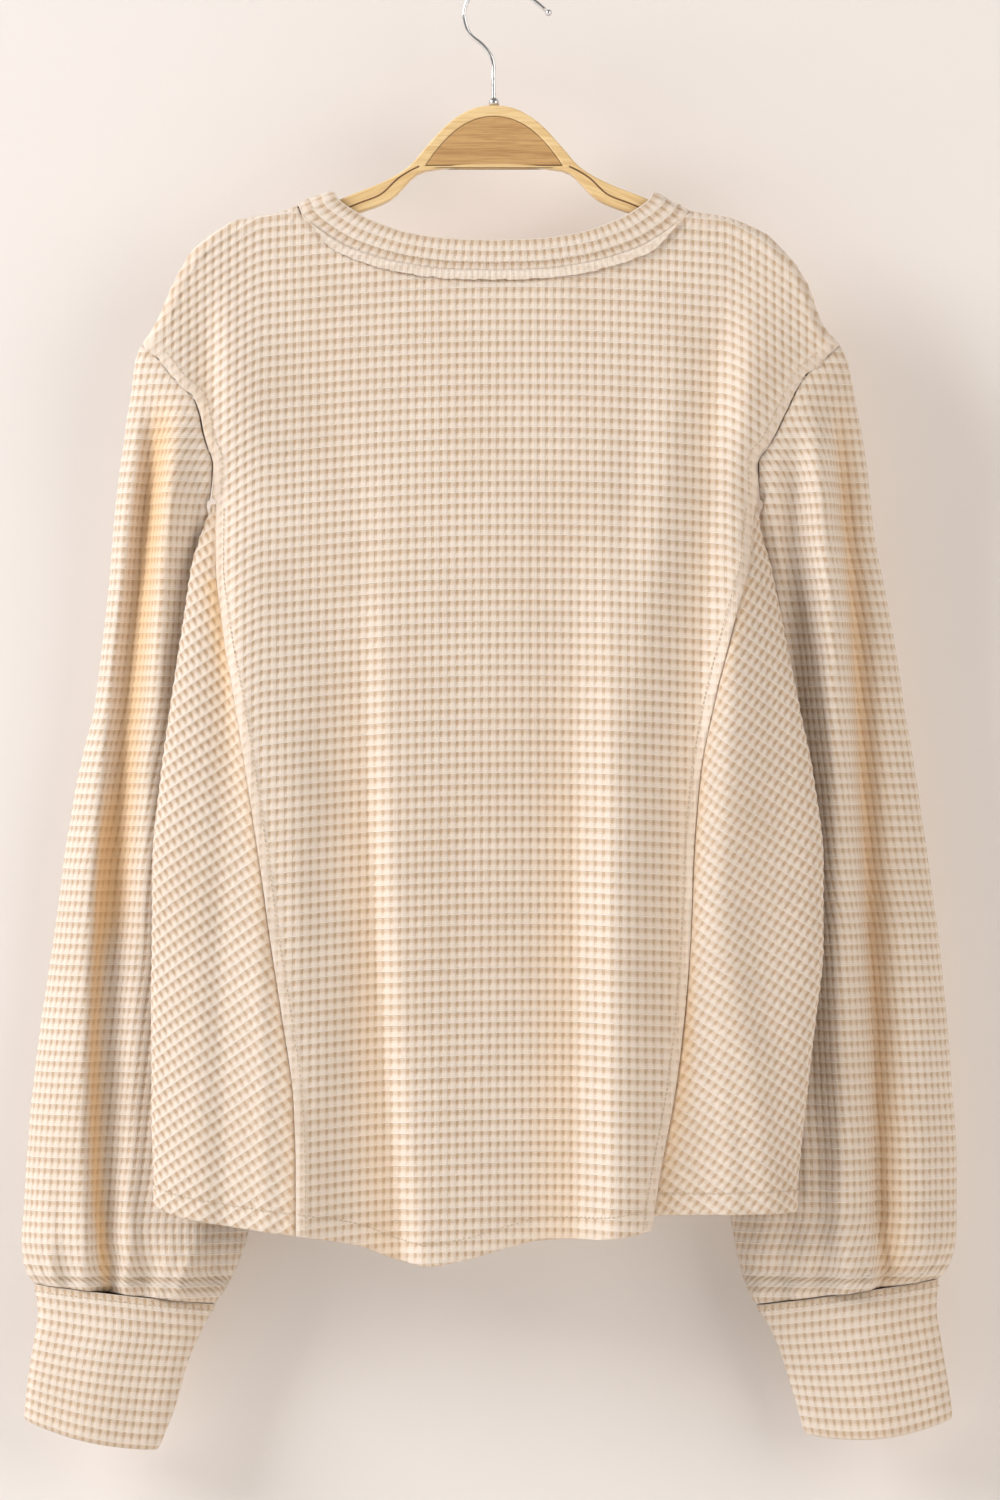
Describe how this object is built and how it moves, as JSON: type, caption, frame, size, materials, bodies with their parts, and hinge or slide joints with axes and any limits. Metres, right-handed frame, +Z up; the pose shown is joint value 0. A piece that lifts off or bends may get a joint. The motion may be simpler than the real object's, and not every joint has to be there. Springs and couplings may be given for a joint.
{
  "type": "henley shirt on hanger",
  "caption": "Waffle-knit henley shirt with long full sleeves, deep cuffs and bias side panels, hanging on a wooden hanger with a wire hook.",
  "frame": {"origin": "under the crook of the hanger's hook, at its inside top, where a rail or wall hook holds it", "axes": "+Z up; -Y out of the back of the shirt, which faces the viewer; +X to the viewer's right"},
  "size_m": [0.6057, 0.1073, 0.9441],
  "materials": {
    "waffle_knit": "cream waffle knit, matte",
    "button": "polished, cream",
    "hanger_wood": "clear satin lacquer over pale laminated wood",
    "hanger_plate": "satin lacquer over darker wood",
    "hook_metal": "bright plating"
  },
  "bodies": {
    "root": {"back_panel": "waffle_knit", "front_panel": "waffle_knit", "side_panel_left": "waffle_knit", "side_panel_right": "waffle_knit", "sleeve_left": "waffle_knit", "sleeve_right": "waffle_knit", "cuff_left": "waffle_knit", "cuff_right": "waffle_knit", "neck_band": "waffle_knit", "neck_raw_strip": "waffle_knit", "placket_over": "waffle_knit", "placket_under": "waffle_knit", "button_1": "button", "button_2": "button", "button_3": "button", "hanger_frame": "hanger_wood", "hanger_plate": "hanger_plate", "hook_wire": "hook_metal", "hook_ferrule": "hook_metal", "hook_tip": "hook_metal"}
  },
  "joints": []
}
